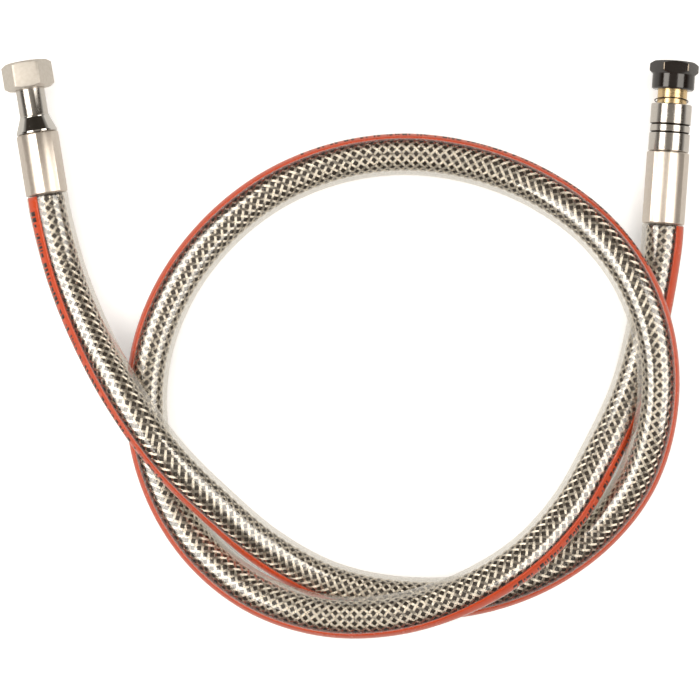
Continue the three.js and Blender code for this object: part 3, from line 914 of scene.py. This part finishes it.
# %% [markdown]
# ### Bore and thread
#
# The nut's lip holds it behind the collar. Over the lip a relief leaves room for the tool that cuts the
# thread, and the thread fills the rest. It is a real ridge: its section is wound up the bore by a Screw
# modifier, and sunk a little into the wall so that no gap shows.

# %% Bore and thread
NUT_SIDES = 120
THREAD_ROOT = 20.95
THREAD_CREST = 18.6
THREAD_PITCH = 1.814
THREAD_SUNK = 0.05
THREAD_STEPS = 72
CREST_HALF = 0.15
RELIEF_WIDTH = 2.4
RELIEF_DEPTH = 0.1


def nut_bore(foot, height, neck):
    """Corners of the bore, from the open mouth down: mouth, thread root, relief, lip and neck hole."""
    root, hole = THREAD_ROOT / 2, neck / 2 + CLEARANCE
    lip = foot + NUT_LIP
    return [
        (root, foot + height), (root, lip + RELIEF_WIDTH), (root + RELIEF_DEPTH, lip + RELIEF_WIDTH),
        (root + RELIEF_DEPTH, lip), (hole, lip), (hole, foot),
    ]


def thread(name, foot, height, finish, side, body, slot):
    """The nut's inner thread, from the relief to just under the mouth."""
    turns = int((height - NUT_LIP - RELIEF_WIDTH) / THREAD_PITCH - 1)
    low = foot + NUT_LIP + RELIEF_WIDTH
    middle, high = low + THREAD_PITCH / 2, low + THREAD_PITCH
    root, crest = THREAD_ROOT / 2 + THREAD_SUNK, THREAD_CREST / 2
    section = [
        (root, low + THREAD_SUNK), (crest, middle - CREST_HALF), (crest, middle + CREST_HALF),
        (root, high - THREAD_SUNK),
    ]
    mesh = bpy.data.meshes.new(name)
    mesh.from_pydata([(r * MM, 0, z * MM) for r, z in section], [(0, 1), (1, 2), (2, 3), (3, 0)], [])
    piece = bpy.data.objects.new(name, mesh)
    bpy.context.scene.collection.objects.link(piece)
    apply_modifier(
        piece, "SCREW", angle=2 * math.pi, screw_offset=THREAD_PITCH * MM, iterations=turns,
        steps=THREAD_STEPS, render_steps=THREAD_STEPS, use_merge_vertices=False,
    )
    bpy.ops.object.mode_set(mode="EDIT")
    bpy.ops.mesh.select_all(action="DESELECT")
    bpy.ops.mesh.select_non_manifold()
    bpy.ops.mesh.edge_face_add()
    bpy.ops.mesh.select_all(action="SELECT")
    bpy.ops.mesh.normals_make_consistent(inside=False)
    bpy.ops.object.mode_set(mode="OBJECT")
    finish_piece(piece, finish, side, body, None, edge_mm=0)


# %% [markdown]
# ### Left nut
#
# The left nut is bar from end to end, chamfered at both ends, with broadly rounded corners.

# %% Left nut
LEFT_NUT = {"foot": LEFT_NUT_FOOT, "height": 14.5}
LEFT_CHAMFER = 0.7
LEFT_CORNER = 2.0

flats = LEFT_MOUTH["flats"]
foot, height = LEFT_NUT.values()
top = foot + height
flat, corner, drop = hex_reach(flats, LEFT_CHAMFER)
blank = turned("left_nut_blank", [
    (flat - LEFT_CHAMFER, foot), (corner, foot + drop), (corner, top - drop), (flat - LEFT_CHAMFER, top),
    *nut_bore(**LEFT_NUT, neck=LEFT_NECK),
], sides=NUT_SIDES)
left_nut = keep_inside(hex_bar("left_hex_nut", flats, foot, height, LEFT_CORNER, blasted_nickel), blank)
finish_piece(left_nut, blasted_nickel, LEFT, "left_nut", "left_nut")
thread("left_nut_thread", **LEFT_NUT, finish=satin_nickel, side=LEFT, body="left_nut", slot="satin_nickel")

# %% [markdown]
# ### Right nut
#
# The black nut has a round collar at its foot, and only its upper half is hexagon bar. So its bar is cut
# short and a turned collar is put below it, each reaching a little into the other. The bar's lower corners
# are cut at 45 degrees where they meet the collar.

# %% Right nut
RIGHT_NUT = {"foot": RIGHT_NUT_FOOT, "height": 15.0}
RIGHT_CHAMFER = 0.55
RIGHT_CORNER = 0.8
NUT_COLLAR_RADIUS = 11.35
NUT_COLLAR_HEIGHT = 8.0
NUT_COLLAR_CHAMFER = 0.7
BAR_OVERLAP = 0.1
NUT_COLLAR_OVERLAP = 0.05

flats = RIGHT_MOUTH["flats"]
foot, height = RIGHT_NUT.values()
top, collar_top = foot + height, foot + NUT_COLLAR_HEIGHT
flat, corner, drop = hex_reach(flats, RIGHT_CHAMFER)
blank = turned("right_nut_blank", [
    (corner, collar_top + corner - NUT_COLLAR_RADIUS), (corner, top - drop), (flat - RIGHT_CHAMFER, top),
    (THREAD_ROOT / 2, top), (THREAD_ROOT / 2, collar_top), (NUT_COLLAR_RADIUS - BAR_OVERLAP, collar_top),
], sides=NUT_SIDES)
bar_size = (flats, collar_top - BAR_OVERLAP, top - collar_top + BAR_OVERLAP, RIGHT_CORNER)
right_nut = keep_inside(hex_bar("right_hex_nut", *bar_size, blacked_steel, worn_steel), blank)
finish_piece(right_nut, blacked_steel, RIGHT, "right_nut", "right_nut")

collar_ring = turned("right_nut_collar", [
    (NUT_COLLAR_RADIUS - NUT_COLLAR_CHAMFER, foot), (NUT_COLLAR_RADIUS, foot + NUT_COLLAR_CHAMFER),
    (NUT_COLLAR_RADIUS, collar_top + NUT_COLLAR_OVERLAP),
    *nut_bore(foot, NUT_COLLAR_HEIGHT + NUT_COLLAR_OVERLAP, RIGHT_NECK),
], sides=NUT_SIDES)
finish_piece(collar_ring, blacked_steel, RIGHT, "right_nut", None)
thread("right_nut_thread", **RIGHT_NUT, finish=blacked_steel, side=RIGHT, body="right_nut", slot="black_oxide")

# %% [markdown]
# ## Gaskets
#
# A fibre gasket lies on each collar, inside the nut, where it is seen from the open end. Its face is pressed
# slightly hollow, so its section has a low step between two rims.

# %% Gaskets
GASKET_EDGE = 0.15
GASKET_SECTION = [
    (5.25, 0.0), (5.25, 2.0), (5.7, 2.0), (6.0, 1.88), (8.2, 1.88), (8.5, 2.0), (8.9, 2.0), (8.9, 0.0),
]
for side, face, name in ((LEFT, left_face, "left"), (RIGHT, right_face, "right")):
    corners = [(radius, face + CLEARANCE + height) for radius, height in GASKET_SECTION]
    washer = turned(f"{name}_fibre_washer", corners)
    node = f"{name}_gasket"
    finish_piece(washer, pressed_fibre, side, "hose_line", node, edge_mm=GASKET_EDGE)

# %% [markdown]
# ## Loose ring and seal
#
# The ring on the brass neck is spring wire. It has some play round the neck, so it hangs to one side and
# lies a little tilted. The rubber seal is hidden in the body, so its CAD solid only gets its finish.

# %% Loose ring and seal
RING_WIRE = 0.6
RING_RADIUS = 8.9
RING_PLAY = 0.4
RING_TILT = math.radians(8)

deselect()
bpy.ops.mesh.primitive_torus_add(
    major_radius=RING_RADIUS * MM, minor_radius=RING_WIRE / 2 * MM, major_segments=96, minor_segments=12,
)
ring = bpy.context.object
ring.name = ring.data.name = "right_snap_wire"
ring_rise = (RING_RADIUS + RING_WIRE / 2) * math.sin(RING_TILT) + RING_WIRE / 2
aside = RING_PLAY * math.sqrt(0.5)
ring_middle = Vector((-aside, aside, BODY_TOP + CLEARANCE + ring_rise)) * MM
ring.data.transform(Matrix.Translation(ring_middle) @ Matrix.Rotation(-RING_TILT, 4, "X"))
finish_piece(ring, spring_wire, RIGHT, "hose_line", "right_wire_ring", edge_mm=0)

hidden_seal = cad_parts["right_o_ring"]
hidden_seal.data.materials.clear()
hidden_seal.data.materials.append(seal_rubber)
print("ring and seal:", ring.name, hidden_seal.name)

# %% [markdown]
# ## Table
#
# The hose was photographed on a white table. Lamps strong enough to make it white would light the hose too
# much, so the camera sees it glow besides, and metal and plastic mirror it as a plain pale sheet. All other
# rays meet a lit white table, whose light fills the hose's undersides.
#
# The glow is weaker where the hose stands close over the table, which an Ambient Occlusion node finds, so a soft
# shadow is painted under and between the hoses. It is stronger far away, where less lamplight falls.

# %% Table
TABLE_SIZE = 6
TABLE_DROP = 0.0002
SHADOW_REACH = 0.06
NEAR_GLOW = {"From Min": 0.1, "From Max": 0.5, "To Min": 0.05, "To Max": 0.72}
FAR_GLOW = {"From Min": 0.4, "From Max": 1.2, "To Min": 0.0, "To Max": 0.28}

bpy.ops.mesh.primitive_plane_add(size=TABLE_SIZE, location=(*VIEW_CENTRE, -TABLE_DROP))
table = bpy.context.object
table.name = table.data.name = "table"
table_white, tree = bare_material("white_table")
lit = add(tree, "ShaderNodeBsdfDiffuse", {"Color": paint("#F4F2EF")}).outputs["BSDF"]
sheet = add(tree, "ShaderNodeEmission", {"Color": paint("#F4EFE7"), "Strength": 0.9}).outputs["Emission"]
# Ambient Occlusion dims the glow near the hose, which paints a soft shadow under and between the hoses.
open_sky = add(tree, "ShaderNodeAmbientOcclusion", {"Distance": SHADOW_REACH}, samples=4).outputs["AO"]
near_glow = add(tree, "ShaderNodeMapRange", {"Value": open_sky, **NEAR_GLOW}).outputs["Result"]
from_middle = add(tree, "ShaderNodeTexCoord").outputs["Object"]
how_far = add(tree, "ShaderNodeVectorMath", {0: from_middle}, operation="LENGTH").outputs["Value"]
far_glow = add(tree, "ShaderNodeMapRange", {"Value": how_far, **FAR_GLOW}).outputs["Result"]
strength = add(tree, "ShaderNodeMath", {0: near_glow, 1: far_glow}, operation="ADD").outputs["Value"]
glow = add(tree, "ShaderNodeEmission", {"Color": paint("#FFFFFF"), "Strength": strength}).outputs["Emission"]
glowing = add(tree, "ShaderNodeAddShader", {0: lit, 1: glow}).outputs["Shader"]
rays = add(tree, "ShaderNodeLightPath").outputs
mirror_rays = {0: rays["Is Glossy Ray"], 1: rays["Is Transmission Ray"]}
mirrored = add(tree, "ShaderNodeMath", mirror_rays, operation="MAXIMUM").outputs["Value"]
unseen = add(tree, "ShaderNodeMixShader", {0: mirrored, 1: lit, 2: sheet}).outputs["Shader"]
shown = add(tree, "ShaderNodeMixShader", {0: rays["Is Camera Ray"], 1: unseen, 2: glowing}).outputs["Shader"]
add(tree, "ShaderNodeOutputMaterial", {"Surface": shown})
table.data.materials.append(table_white)
print("nodes in the table's white:", len(tree.nodes))

# %% [markdown]
# ## Soft boxes
#
# The hose's highlights tell where the lamps are. Two bright bands run along it, one on each side of its
# top, wherever it runs up and down the photograph. So two long soft boxes stand left and right of the
# camera, 40 degrees off the vertical, with their length along the photograph's height.

# %% Soft boxes
BOX_DISTANCE = 1.25
BOX_SLANT = math.radians(40)
BOX_WIDTH = 0.7
SOFT_BOXES = {
    "right": {"turn": -4, "length": 1.2, "power": 8.5},
    "left": {"turn": 172, "length": 1.3, "power": 11.5},
}
for name, box in SOFT_BOXES.items():
    lamp_data = bpy.data.lights.new(f"soft_box_{name}", "AREA")
    lamp_data.shape = "RECTANGLE"
    lamp_data.size, lamp_data.size_y = BOX_WIDTH, box["length"]
    lamp_data.energy = box["power"]
    lamp_data.color = paint("#FFF9F0")[:3]
    lamp = bpy.data.objects.new(lamp_data.name, lamp_data)
    bpy.context.scene.collection.objects.link(lamp)
    turn = math.radians(box["turn"])
    level, tangent = Vector((math.cos(turn), math.sin(turn), 0)), Vector((-math.sin(turn), math.cos(turn), 0))
    out = math.sin(BOX_SLANT) * level + math.cos(BOX_SLANT) * Vector((0, 0, 1))
    axes = Matrix((tangent.cross(out), tangent, out)).transposed()
    lamp_place = Vector((*VIEW_CENTRE, 0)) + BOX_DISTANCE * out
    lamp.matrix_world = Matrix.Translation(lamp_place) @ axes.to_4x4()
    print(name, "soft box at", [round(x, 2) for x in lamp_place])

# %% [markdown]
# ## Room
#
# Between the lamps and the horizon the room is dim, which gives the metal its dark bands, and it is paler
# overhead and at the horizon, which gives it its pale edges. Heights go from 0 at the horizon to 1 straight
# up. Only the camera's own rays see a plain white room.

# %% Room
ROOM_STRENGTH = 0.5
ROOM_FLOOR, ROOM_CEILING = "#F2EEE8", "#C0B8AE"
ROOM_BY_HEIGHT = [(0.05, "#F2EEE8"), (0.3, "#5A534C"), (0.8, "#4A443E"), (0.96, "#C0B8AE")]

world = bpy.data.worlds.new("room")
bpy.context.scene.world = world
world.use_nodes = True
tree = world.node_tree
tree.nodes.clear()
direction = add(tree, "ShaderNodeTexCoord").outputs["Generated"]
height = add(tree, "ShaderNodeSeparateXYZ", {0: direction}).outputs["Z"]
room = add(tree, "ShaderNodeValToRGB", {"Fac": height})
room.color_ramp.elements[0].color = paint(ROOM_FLOOR)
room.color_ramp.elements[-1].color = paint(ROOM_CEILING)
for place, colour in ROOM_BY_HEIGHT:
    room.color_ramp.elements.new(place).color = paint(colour)
dim = {"Color": room.outputs["Color"], "Strength": ROOM_STRENGTH}
dim_room = add(tree, "ShaderNodeBackground", dim).outputs["Background"]
white_room = add(tree, "ShaderNodeBackground", {"Color": paint("#FFFFFF"), "Strength": 1.0}).outputs["Background"]
seen = add(tree, "ShaderNodeLightPath").outputs["Is Camera Ray"]
sky = add(tree, "ShaderNodeMixShader", {0: seen, 1: dim_room, 2: white_room}).outputs["Shader"]
add(tree, "ShaderNodeOutputWorld", {"Surface": sky})
print("tones of the room by height:", len(room.color_ramp.elements))

# %% Finish
bpy.context.scene.view_settings.view_transform = "Standard"
